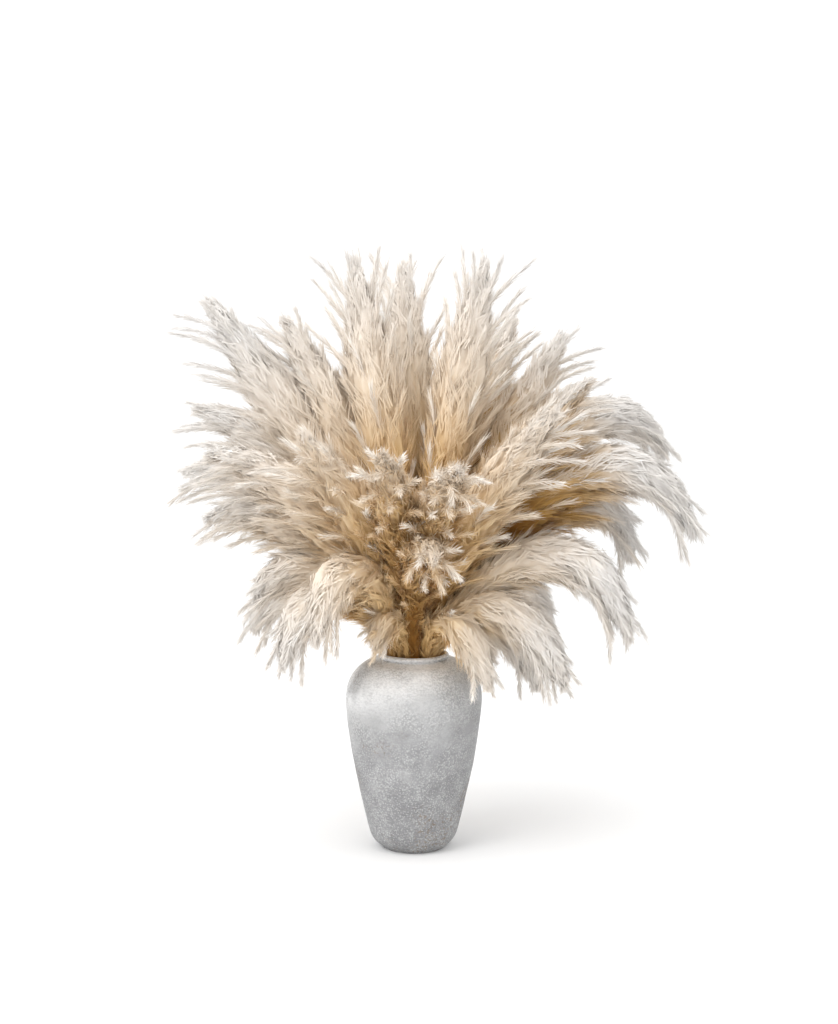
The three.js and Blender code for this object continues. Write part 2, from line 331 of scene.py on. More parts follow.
# Each plume: the way it leans, in degrees anticlockwise from +X seen from above, how far its tip
# reaches from the vase's axis, the tip's height, the reach and height of its arch, and the length of
# its longest locks, in millimetres.
PLUMES = [
    # left side, from the top down
    (190, 315, 845, 185, 690, 120),
    (168, 350, 672, 235, 680, 115),
    (206, 338, 622, 225, 650, 110),
    (176, 352, 572, 245, 650, 110),
    (194, 318, 515, 215, 600, 105),
    (200, 250, 390, 190, 520, 100),
    (161, 262, 312, 225, 470, 95),
    (221, 250, 305, 200, 505, 95),
    # upright ones at the top
    (205, 98, 905, 70, 700, 125),
    (192, 200, 818, 115, 680, 115),
    (345, 112, 902, 70, 700, 125),
    (98, 115, 895, 75, 680, 120),
    (17, 245, 786, 150, 640, 110),
    (344, 275, 730, 185, 650, 110),
    # right side, from the top down
    (22, 432, 570, 312, 850, 110),
    (353, 422, 474, 312, 790, 115),
    (8, 336, 425, 300, 690, 100),
    (340, 338, 333, 265, 605, 105),
    (24, 232, 308, 185, 480, 85),
    (328, 262, 270, 185, 460, 95),
    (352, 190, 248, 150, 400, 80),
    # the front
    (318, 278, 690, 170, 600, 115),
    (232, 262, 660, 165, 580, 115),
    (261, 275, 640, 140, 560, 95),
    (277, 255, 478, 165, 540, 95),
    (282, 310, 618, 190, 610, 100),
    (312, 165, 268, 128, 395, 75),
    (240, 108, 322, 92, 380, 65),
    (234, 238, 345, 190, 560, 100),
    # the back
    (45, 225, 808, 140, 660, 115),
    (122, 270, 715, 175, 650, 115),
    (82, 340, 560, 240, 650, 110),
    (45, 350, 480, 260, 620, 110),
    (140, 340, 470, 260, 600, 110),
    (105, 300, 400, 230, 520, 105),
]


class Value:
    """A socket that gives a number, colour or vector, with arithmetic on numbers."""

    def __init__(self, finish, socket):
        self.finish = finish
        self.socket = socket

    def _with(self, operation, first, second):
        return self.finish.node("ShaderNodeMath", {"operation": operation}, {0: first, 1: second})

    def __add__(self, other):
        return self._with("ADD", self, other)

    def __radd__(self, other):
        return self._with("ADD", other, self)

    def __sub__(self, other):
        return self._with("SUBTRACT", self, other)

    def __rsub__(self, other):
        return self._with("SUBTRACT", other, self)

    def __mul__(self, other):
        return self._with("MULTIPLY", self, other)


class Finish:
    """A material under construction."""

    def __init__(self, name):
        self.material = bpy.data.materials.new(name)
        self.material.use_nodes = True
        self.tree = self.material.node_tree
        self.tree.nodes.clear()

    def node(self, kind, settings, sockets, output=0):
        made = self.tree.nodes.new(kind)
        for name, setting in settings.items():
            if name == "stops":
                self.set_stops(made.color_ramp, setting)
            else:
                setattr(made, name, setting)
        for name, given in sockets.items():
            if isinstance(given, Value):
                self.tree.links.new(given.socket, made.inputs[name])
            else:
                made.inputs[name].default_value = given
        return Value(self, made.outputs[output]) if made.outputs else None

    @staticmethod
    def set_stops(ramp, stops):
        while len(ramp.elements) < len(stops):
            ramp.elements.new(1)
        for element, (position, colour) in zip(ramp.elements, stops):
            element.position = position
            element.color = colour

    def ramp(self, factor, stops):
        return self.node("ShaderNodeValToRGB", {"stops": stops}, {0: factor})

    def mix(self, factor, first, second, blend="MIX"):
        """Mixes two colours."""
        settings = {"data_type": "RGBA", "blend_type": blend, "clamp_factor": True}
        return self.node("ShaderNodeMix", settings, {0: factor, 6: first, 7: second}, 2)

    def noise(self, spot, scale, detail, roughness=0.5):
        sockets = {"Vector": spot, "Scale": scale, "Detail": detail, "Roughness": roughness}
        return self.node("ShaderNodeTexNoise", {}, sockets)

    def part_of(self, vector, axis):
        return self.node("ShaderNodeSeparateXYZ", {}, {0: vector}, axis)

    def stretched(self, vector, shares):
        return self.node("ShaderNodeVectorMath", {"operation": "MULTIPLY"}, {0: vector, 1: shares})

    def smooth_step(self, field, low, high):
        settings = {"interpolation_type": "SMOOTHSTEP"}
        return self.node("ShaderNodeMapRange", settings, {0: field, 1: low, 2: high})

    def finished(self, surface):
        self.node("ShaderNodeOutputMaterial", {}, {"Surface": surface})
        return self.material


def srgb(red, green, blue):
    """The colour that a screen shows for these values from 0 to 1."""
    linear = [c / 12.92 if c <= 0.04045 else ((c + 0.055) / 1.055) ** 2.4 for c in (red, green, blue)]
    return (*linear, 1)


def make_floss_finish():
    """Silky floss: golden at the heart of the bunch and deep in a plume, pale cream to silver outside;
    the darker gold deep inside is partly painted shade.
    """
    floss = Finish("pampas_floss")
    spot = floss.node("ShaderNodeUVMap", {"uv_map": "OFBake"}, {})
    place = floss.part_of(spot, 0)
    depth = floss.part_of(spot, 1)
    # The colour deep in the floss, darker and more golden: partly its own colour, partly painted shade
    deep = floss.ramp(
        place,
        [
            (0.0, srgb(0.38, 0.23, 0.06)),
            (0.14, srgb(0.54, 0.36, 0.12)),
            (0.3, srgb(0.73, 0.58, 0.34)),
            (0.5, srgb(0.79, 0.69, 0.55)),
            (0.7, srgb(0.78, 0.715, 0.635)),
            (1.0, srgb(0.74, 0.72, 0.70)),
        ],
    )
    tips = floss.ramp(
        place,
        [
            (0.0, srgb(0.78, 0.60, 0.32)),
            (0.14, srgb(0.86, 0.70, 0.43)),
            (0.3, srgb(0.925, 0.825, 0.66)),
            (0.5, srgb(0.905, 0.85, 0.775)),
            (0.75, srgb(0.895, 0.865, 0.83)),
            (1.0, srgb(0.865, 0.855, 0.845)),
        ],
    )
    colour = floss.mix(floss.smooth_step(depth, 0.05, 0.95), deep, tips)
    whiteness = floss.smooth_step(depth, DEPTH_MOST, DEPTH_MOST + PUFF_RANGE)
    colour = floss.mix(whiteness, colour, srgb(0.97, 0.95, 0.92))
    streaks = floss.noise(floss.stretched(spot, (45, 130, 1)), 1.0, 2.0)
    shade = floss.ramp(streaks, [(0.3, (0.96, 0.94, 0.91, 1)), (0.65, (1, 1, 1, 1))])
    colour = floss.mix(1.0, colour, shade, "MULTIPLY")
    surface = {
        "Base Color": colour,
        "Roughness": 0.85,
        "Specular IOR Level": 0.25,
        "Sheen Weight": 0.15,
        "Sheen Roughness": 0.5,
    }
    return floss.finished(floss.node("ShaderNodeBsdfPrincipled", {}, surface))


def make_glaze_finish():
    """A pale matt glaze with a fine pebbled skin, cloudy grey patches and a few rusty specks, with
    painted light: paler to the shoulders and the left, darker low down on the right.
    """
    glaze = Finish("pebbled_glaze")
    spot = glaze.node("ShaderNodeTexCoord", {}, {}, "Object")
    height = glaze.part_of(spot, 2)
    across = glaze.part_of(spot, 0)
    clouds = glaze.noise(spot, 11.0, 3.0)
    lowness = 1 - glaze.smooth_step(height + across * -0.35, 0.02, 0.27)
    # Painted light: paler towards the shoulders and the left side, where more light falls, and uneven
    # like clouds
    painted_light_drift = height * 3.33 + across * -1.1 + clouds * 0.3 - 0.15
    base = glaze.ramp(
        painted_light_drift,
        [
            (0.0, srgb(0.57, 0.57, 0.575)),
            (0.3, srgb(0.55, 0.55, 0.555)),
            (0.55, srgb(0.61, 0.61, 0.615)),
            (0.8, srgb(0.735, 0.735, 0.735)),
            (0.9, srgb(0.92, 0.92, 0.92)),
        ],
    )
    # The grey patches gather a little low down and to the right, partly as painted shade there
    grey = glaze.smooth_step(clouds + lowness * 0.12, 0.46, 0.7)
    base = glaze.mix(grey * 0.6, base, srgb(0.50, 0.50, 0.505))
    bloom = glaze.noise(spot, 30.0, 6.0, 0.7)
    base = glaze.mix(glaze.smooth_step(bloom, 0.35, 0.75) * 0.5, base, srgb(0.78, 0.78, 0.78))
    # Pebbles with darker lines between them and pale crowns, rough in patches
    patchy = glaze.noise(spot, 20.0, 2.0)
    roughened = glaze.smooth_step(patchy + lowness * 0.3, 0.4, 0.68)
    pebbles = glaze.node("ShaderNodeTexVoronoi", {}, {"Vector": spot, "Scale": 340.0})
    between = glaze.smooth_step(pebbles, 0.35, 0.75) * (0.25 + roughened * 0.75)
    base = glaze.mix(between * 0.4, base, srgb(0.46, 0.46, 0.465))
    crowns = 1 - glaze.smooth_step(pebbles, 0.12, 0.4)
    base = glaze.mix(crowns * roughened * 0.5, base, srgb(0.86, 0.86, 0.855))
    rusty = glaze.smooth_step(clouds + lowness * 0.15, 0.62, 0.74)
    specks = glaze.noise(spot, 260.0, 1.0)
    base = glaze.mix(glaze.smooth_step(specks, 0.55, 0.66) * rusty * 0.6, base, srgb(0.47, 0.39, 0.31))
    # A fine grain over everything, drawn out level around the vase
    grain = glaze.noise(glaze.stretched(spot, (1, 1, 2.4)), 150.0, 3.0)
    base = glaze.mix(glaze.smooth_step(grain, 0.45, 0.7) * 0.2, base, srgb(0.48, 0.48, 0.485))
    relief = (grain * 0.7 - pebbles * 0.6) * (0.35 + roughened * 0.65)
    bump = glaze.node("ShaderNodeBump", {}, {"Height": relief, "Strength": 0.9, "Distance": 2.2 * MM})
    surface = {
        "Base Color": base,
        "Roughness": 0.5 + grey * 0.15,
        "Specular IOR Level": 0.4,
        "Normal": bump,
    }
    return glaze.finished(glaze.node("ShaderNodeBsdfPrincipled", {}, surface))


def make_floor_finish():
    floor = Finish("pale_floor")
    spot = floor.node("ShaderNodeTexCoord", {}, {}, "Object")
    mottle = floor.noise(spot, 3.0, 1.0)
    colour = floor.ramp(mottle, [(0.0, (0.86, 0.86, 0.86, 1)), (1.0, (0.88, 0.88, 0.88, 1))])
    surface = {"Base Color": colour, "Roughness": 0.9}
    return floor.finished(floor.node("ShaderNodeBsdfPrincipled", {}, surface))


def draw(item, group):
    """A repeatable draw from 0 to 1 for each item of a group."""
    x = np.sin(item * 12.9898 + group * 78.233) * 43758.5453
    return x - np.floor(x)


def unit(vectors):
    return vectors / np.linalg.norm(vectors, axis=-1, keepdims=True)


def way_between(start, end, value):
    """How far a value has gone from start to end: 0 before the start, 1 past the end."""
    return np.clip((value - start) / (end - start), 0, 1)


def levelness(along):
    """How level each direction runs, from 0 for upright to 1."""
    return np.hypot(along[:, 0], along[:, 1])


def rolled(side, lift, roll):
    """One direction across a line at each of its places, turned about the line."""
    return side * np.cos(roll)[:, None] + lift * np.sin(roll)[:, None]


def all_round(side, lift, turn):
    """All the directions across a line that a ring of corners needs, at each of its places."""
    return side[:, None] * np.cos(turn)[None, :, None] + lift[:, None] * np.sin(turn)[None, :, None]


def smooth_outline(points, steps):
    """A Catmull-Rom curve through the points, with a number of steps between each two."""
    points = np.array(points, float)
    padded = np.vstack([points[:1], points, points[-1:]])
    t = np.linspace(0, 1, steps, endpoint=False)[:, None]
    stretches = []
    for i in range(len(points) - 1):
        before, start, end, after = padded[i : i + 4]
        leave = (end - before) / 2
        arrive = (after - start) / 2
        cubic = (2 * start - 2 * end + leave + arrive) * t**3
        square = (-3 * start + 3 * end - 2 * leave - arrive) * t**2
        stretches.append(cubic + square + leave * t + start)
    return np.vstack(stretches + [points[-1:]])


VASE_PROFILE = smooth_outline(VASE_OUTLINE, VASE_STEPS_PER_STRETCH) * MM


def mesh_object(name, corners, edges, faces):
    mesh = bpy.data.meshes.new(name)
    mesh.from_pydata(corners, edges, faces)
    made = bpy.data.objects.new(name, mesh)
    bpy.context.scene.collection.objects.link(made)
    return made


def select_only(piece):
    bpy.ops.object.select_all(action="DESELECT")
    piece.select_set(True)
    bpy.context.view_layer.objects.active = piece


def add_wave(piece, kind, size, strength):
    """Pushes a piece's surface in and out by a cloudy pattern of that size."""
    texture = bpy.data.textures.new(piece.name + "_" + kind, "CLOUDS")
    texture.noise_scale = size
    wave = piece.modifiers.new(kind, "DISPLACE")
    wave.texture = texture
    wave.texture_coords = "LOCAL"
    wave.strength = strength
    bpy.ops.object.modifier_apply(modifier=kind)


def make_vase():
    outside = VASE_PROFILE
    steps = np.gradient(outside, axis=0)
    inward = unit(np.column_stack([-steps[:, 1], steps[:, 0]]))
    inside = (outside + VASE_WALL * inward)[::-1]
    lip_foot = VASE_LIP[-1][1] * MM
    heights = inside[:, 1]
    inside = inside[(heights > VASE_FLOOR + VASE_WALL) & (heights < lip_foot - VASE_INNER_TOP_GAP)]
    inside = inside[:: max(1, len(inside) // VASE_INNER_STEPS)]
    lip = smooth_outline([VASE_OUTLINE[-1]] + VASE_LIP, VASE_LIP_STEPS)[1:] * MM
    floor_edge = [(VASE_INNER_FLOOR_RADIUS, VASE_FLOOR), (0, VASE_FLOOR)]
    profile = np.vstack([[(0, 0)], outside, lip, inside, floor_edge])
    corners = [(radius, 0, height) for radius, height in profile]
    edges = [(i, i + 1) for i in range(len(corners) - 1)]
    vase = mesh_object("vase_body", corners, edges, [])
    select_only(vase)
    turned = vase.modifiers.new("turned", "SCREW")
    turned.steps = VASE_SIDES
    turned.render_steps = VASE_SIDES
    turned.use_merge_vertices = True
    turned.merge_threshold = VASE_SAME_PLACE
    bpy.ops.object.modifier_apply(modifier="turned")
    bpy.ops.object.mode_set(mode="EDIT")
    bpy.ops.mesh.select_all(action="SELECT")
    bpy.ops.mesh.remove_doubles(threshold=VASE_SAME_PLACE)
    bpy.ops.mesh.normals_make_consistent(inside=False)
    bpy.ops.object.mode_set(mode="OBJECT")
    add_wave(vase, "hand_made", VASE_WAVE_SIZE, VASE_WAVE)
    flatten_foot(vase)
    bpy.ops.object.shade_smooth_by_angle(angle=VASE_CREASE)
    return vase


def flatten_foot(vase):
    """Sets the foot back on the floor after its surface has been waved."""
    for corner in vase.data.vertices:
        if corner.co.z < VASE_FOOT_BAND:
            corner.co.z = 0


def mouth_spots():
    """Where each stalk passes the mouth: started by how far its plume leans, then pushed apart."""
    spots = []
    for azimuth, reach, height, *_ in PLUMES:
        lean = min(1, math.atan2(reach * MM, height * MM - VASE_HEIGHT) / (math.pi / 2))
        angle = math.radians(azimuth)
        spots.append(MOUTH_SPOT_RADIUS * lean * complex(math.cos(angle), math.sin(angle)))
    for _ in range(SPOT_ROUNDS):
        for i in range(len(spots)):
            for j in range(i):
                apart = spots[i] - spots[j]
                distance = max(abs(apart), TINY)
                if distance < MOUTH_SPOT_SPACING:
                    push = apart * (MOUTH_SPOT_SPACING - distance) / 2 / distance
                    spots[i] += push
                    spots[j] -= push
        spots = [s * min(1, MOUTH_SPOT_RADIUS / max(abs(s), TINY)) for s in spots]
    return spots


class PlumeLine:
    """The line of one plume: a straight stalk in the vase, then one arch from the mouth to the tip."""

    def __init__(self, row, spot):
        azimuth, reach, height, arch_reach, arch_height, lock_length = row
        angle = math.radians(azimuth)
        away = np.array([math.cos(angle), math.sin(angle), 0])
        up = np.array([0, 0, 1])
        self.lock_length = lock_length * MM
        self.across = np.array([-math.sin(angle), math.cos(angle), 0])
        mouth = np.array([spot.real, spot.imag, VASE_HEIGHT])
        foot_spot = spot * complex(math.cos(STALK_TWIST), math.sin(STALK_TWIST)) * STALK_FOOT_SPREAD
        self.foot = np.array([foot_spot.real, foot_spot.imag, VASE_FLOOR + STALK_GAP])
        stalk = mouth - self.foot
        self.foot[2] += STALK_RADIUS * math.hypot(stalk[0], stalk[1]) / np.linalg.norm(stalk)
        self.poles = np.array(
            [
                mouth,
                mouth + STALK_LEAD * unit(mouth - self.foot),
                away * arch_reach * MM + up * arch_height * MM,
                away * reach * MM + up * height * MM,
            ]
        )
        times = np.linspace(0, 1, ARCH_DIVISIONS + 1)
        steps = np.linalg.norm(np.diff(self.at_time(times), axis=0), axis=1)
        self.travelled = np.concatenate([[0], np.cumsum(steps)])
        self.times = times
        self.length = self.travelled[-1]

    def at_time(self, t):
        t = np.asarray(t)[..., None]
        a, b, c, d = self.poles
        return a * (1 - t) ** 3 + 3 * b * t * (1 - t) ** 2 + 3 * c * t**2 * (1 - t) + d * t**3

    def time_of(self, u):
        return np.interp(np.asarray(u) * self.length, self.travelled, self.times)

    def at(self, u):
        """The place at u of the arch's length, or down the stalk where u is below 0."""
        below = np.minimum(u, 0)[..., None] * self.length * unit(self.poles[1] - self.poles[0])
        return self.at_time(self.time_of(u)) + below

    def along(self, u):
        t = self.time_of(u)[..., None]
        a, b, c, d = self.poles
        return unit((b - a) * (1 - t) ** 2 + 2 * (c - b) * t * (1 - t) + (d - c) * t**2)

    def frame_at(self, u):
        """The directions along the line, across it and square to both."""
        along = self.along(u)
        side = unit(self.across - (along @ self.across)[..., None] * along)
        return along, side, np.cross(side, along)


def corners_and_triangles(piece):
    """Takes a modelled piece away and returns its corners and triangles."""
    select_only(piece)
    bpy.ops.object.mode_set(mode="EDIT")
    bpy.ops.mesh.select_all(action="SELECT")
    bpy.ops.mesh.quads_convert_to_tris()
    bpy.ops.object.mode_set(mode="OBJECT")
    mesh = piece.data
    corners = np.empty(len(mesh.vertices) * 3)
    mesh.vertices.foreach_get("co", corners)
    triangles = np.empty(len(mesh.polygons) * 3, int)
    mesh.polygons.foreach_get("vertices", triangles)
    bpy.data.objects.remove(piece)
    return corners.reshape(-1, 3), triangles.reshape(-1, 3)


def model_hair():
    """One hair: a three-sided spike, one unit long and one wide."""
    bpy.ops.mesh.primitive_cone_add(
        vertices=3, radius1=HAIR_BASE, radius2=0, depth=1, location=(0, 0, 0.5)
    )
    bpy.ops.object.transform_apply()
    return corners_and_triangles(bpy.context.object)


def model_body():
    """A lock's body: a spindle with a radius of one, drawn out to a point at both ends."""
    bpy.ops.mesh.primitive_uv_sphere_add(segments=BODY_SIDES, ring_count=BODY_RINGS, radius=1)
    corners, triangles = corners_and_triangles(bpy.context.object)
    corners[:, 2] = (corners[:, 2] + 1) / 2
    rim = np.linalg.norm(corners[:, :2], axis=1, keepdims=True)
    at_pole = rim < 0.001
    corners[:, :2] = np.where(at_pole, 0, corners[:, :2] / np.maximum(rim, TINY))
    return corners, triangles


def brush_outline(s):
    """How far a lock's hairs reach out at s of its length, as a share of the most that they do."""
    swelling = way_between(0, OUTLINE_SWELLS_OVER, s) ** BRUSH_ROOT_ROUNDNESS
    shrinking = way_between(BRUSH_END, BRUSH_END - BRUSH_SHRINKS_OVER, s)
    return swelling * shrinking**OUTLINE_ROUNDNESS


def body_outline(s):
    """The radius of a lock's body at s of its length, as a share of its widest."""
    swelling = way_between(0, OUTLINE_SWELLS_OVER, s)
    shrinking = way_between(BODY_END, BODY_END - BODY_SHRINKS_OVER, s)
    return swelling**OUTLINE_ROUNDNESS * shrinking**OUTLINE_ROUNDNESS


class LockShape:
    """One lock, drawn straight: x and y across it in metres, z from 0 at its root to 1 at its tip."""

    def __init__(self, kind, hair, body):
        chance = np.random.default_rng(LOCK_SEED + kind)
        body_corners, body_triangles = body
        corners = body_corners.copy()
        corners[:, :2] *= (BODY_RADIUS * body_outline(corners[:, 2]))[:, None]
        corners[:, :2] *= chance.uniform(*BODY_VARIES, (len(corners), 1))
        sides = np.arctan2(body_corners[:, 1], body_corners[:, 0])
        streaks = BODY_STREAK * np.sin(sides * 2 + kind)
        streaks = streaks + chance.uniform(-TONE_VARIES, TONE_VARIES, len(corners))
        depth = BODY_TINT + TINT_GAIN * corners[:, 2] + streaks
        places = [corners]
        triangles = [body_triangles]
        tints = [np.column_stack([TINT_AROUND * np.cos(sides), depth])]

        hair_corners, hair_triangles = hair
        k = np.arange(HAIRS)
        root = (k + chance.uniform(0, 1, HAIRS)) / HAIRS
        root = HAIR_FIRST_ROOT + (HAIR_LAST_ROOT - HAIR_FIRST_ROOT) * root**HAIR_ROOT_CROWDING
        length = HAIR_LENGTH * chance.uniform(*HAIR_LENGTH_VARIES, HAIRS)
        end = np.minimum(root + length, HAIR_LAST_END + chance.uniform(*HAIR_LAST_END_VARIES, HAIRS))
        turn = k * GOLDEN_ANGLE + chance.uniform(-HAIR_TURN_VARIES, HAIR_TURN_VARIES, HAIRS)
        swirl = turn + chance.uniform(-HAIR_SWIRL, HAIR_SWIRL, HAIRS)
        stray = chance.uniform(0, 1, HAIRS) < STRAY_SHARE
        reach = chance.uniform(*HAIR_REACH_VARIES, HAIRS) * np.where(stray, STRAY_REACH, 1)
        root_radius = HAIR_ROOT_SHARE * BODY_RADIUS * body_outline(root)
        end_radius = LOCK_RADIUS * brush_outline(end) * reach
        roots = np.column_stack([root_radius * np.cos(turn), root_radius * np.sin(turn), root])
        ends = np.column_stack([end_radius * np.cos(swirl), end_radius * np.sin(swirl), end])
        width = HAIR_WIDTH * chance.uniform(*HAIR_WIDTH_VARIES, HAIRS)
        flat = turn + chance.uniform(-HAIR_FLAT_VARIES, HAIR_FLAT_VARIES, HAIRS)
        x, y, z = hair_corners.T
        hairs = roots[:, None] + (ends - roots)[:, None] * z[None, :, None]
        wide = width[:, None] * x
        thick = HAIR_THICKNESS * y
        hairs[:, :, 0] += -np.sin(flat)[:, None] * wide - np.cos(flat)[:, None] * thick
        hairs[:, :, 1] += np.cos(flat)[:, None] * wide - np.sin(flat)[:, None] * thick
        places.append(hairs.reshape(-1, 3))
        firsts = len(corners) + len(hair_corners) * k
        triangles.append((hair_triangles[None] + firsts[:, None, None]).reshape(-1, 3))
        tone = HAIR_TINT + HAIR_TIP_TONE * (z > 0.5) + TINT_AROUND * y
        depth = TINT_GAIN * hairs[:, :, 2] + tone
        depth = depth + chance.uniform(-TONE_VARIES, TONE_VARIES, HAIRS)[:, None]
        shift = np.broadcast_to(TINT_ACROSS * x + TINT_THROUGH * y, depth.shape)
        tints.append(np.stack([shift, depth], axis=-1).reshape(-1, 2))

        leans = np.stack([np.cos(swirl), np.sin(swirl)], axis=-1)
        body_leans = np.column_stack([np.cos(sides), np.sin(sides)])
        self.leans = np.vstack([body_leans, np.repeat(leans, len(hair_corners), axis=0)])
        self.corners = np.vstack(places)
        self.triangles = np.vstack(triangles)
        self.tints = np.vstack(tints)


def lock_swell(u):
    """How long and thick a lock is at u of its plume: small at the mouth, full along the middle."""
    from_mouth = LOCK_SHARE_AT_MOUTH + (1 - LOCK_SHARE_AT_MOUTH) * way_between(0, LOCK_FULL_FROM, u)
    to_tip = 1 - (1 - LOCK_SHARE_AT_TIP) * way_between(LOCK_SHRINKS_FROM, 1, u)
    return from_mouth * to_tip


def outerness(corners):
    """How far out in the bunch each corner is, from 0 at its heart to 1."""
    x, y, z = (corners - HEART).T
    widening = np.clip(1 + HEART_NARROWS_DOWN * z, HEART_NARROWEST, 1)
    past = np.sign(y) * np.maximum(np.abs(y) - HEART_AFT_FROM, 0)
    fore_and_aft = HEART_AFT_SHARE * y + HEART_PAST_AFT_SHARE * past
    upright = np.where(z > 0, HEART_UP_SHARE, HEART_DOWN_SHARE) * z
    distance = np.hypot(np.hypot(x, fore_and_aft) / widening, upright)
    low_gold = HEART_LOW_GOLD * way_between(0, -HEART_LOW, z)
    return way_between(0, HEART_REACH, distance) * (1 - low_gold)


def cleft_painted_shade(corners):
    """Painted shade: how much deeper the floss's colour is made between the stalks, just above the mouth,
    where shade falls.
    """
    x, y, z = (corners - HEART).T
    nearness = way_between(CLEFT_RADIUS, 0, np.hypot(x, CLEFT_AFT_SHARE * y))
    return CLEFT_SHADE_DEEPENS * nearness * way_between(0, -CLEFT_FADES_OVER, z)


def sag_of(along):
    """How far the floss hangs below its stalk, which depends on how level the stalk runs."""
    return np.outer(-CORE_SAG * levelness(along) ** 2, np.array([0, 0, 1]))


def core_radius(line, u):
    widening = way_between(CORE_START, CORE_FULL_FROM, u)
    widening = CORE_SHARE_AT_MOUTH + (1 - CORE_SHARE_AT_MOUTH) * widening
    tapering = np.clip((CORE_CLOSES_AT - u) / (CORE_END - CORE_TAPERS_FROM), 0, 1)
    return CORE_SHARE * line.lock_length * widening * tapering**CORE_TAPER_ROUNDNESS


def make_core(line, plume):
    """The dense middle of a plume's floss, as corners, triangles, tints and facings."""
    u = np.linspace(CORE_START, CORE_END, CORE_RINGS)
    along, side, lift = line.frame_at(u)
    middle = line.at(u) + sag_of(along)
    turn = 2 * math.pi * np.arange(CORE_SIDES) / CORE_SIDES
    out = all_round(side, lift, turn)
    ring = np.arange(CORE_RINGS)[:, None]
    uneven = draw(ring, turn[None] + plume)
    groove = np.arange(CORE_SIDES)[None] % 2
    waves = CORE_WAVES * np.sin(CORE_WAVES_AROUND * turn[None] + CORE_WAVES_TURN * ring + plume)
    lumps = 1 + waves + CORE_UNEVEN * (uneven - 0.5) - CORE_GROOVES * groove
    radius = core_radius(line, u)[:, None] * lumps
    corners = middle[:, None] + out * radius[:, :, None]
    corners = np.vstack([corners.reshape(-1, 3), middle[:1], middle[-1:]])
    facing = np.vstack([out.reshape(-1, 3), -along[:1], along[-1:]])
    place = np.repeat(u, CORE_SIDES) + np.tile(TINT_AROUND * np.cos(turn), CORE_RINGS)
    # The grooves get a lower tint: streaks that are painted shade in them
    depth = (CORE_TINT + CORE_TINT_VARIES * uneven - CORE_GROOVE_PAINTED_SHADE * groove).ravel()
    end_tints = [(u[0], CORE_START_TINT), (u[-1], CORE_TINT)]
    tints = np.vstack([np.column_stack([place, depth]), end_tints])
    return corners, tube_triangles(CORE_RINGS, CORE_SIDES), tints, facing


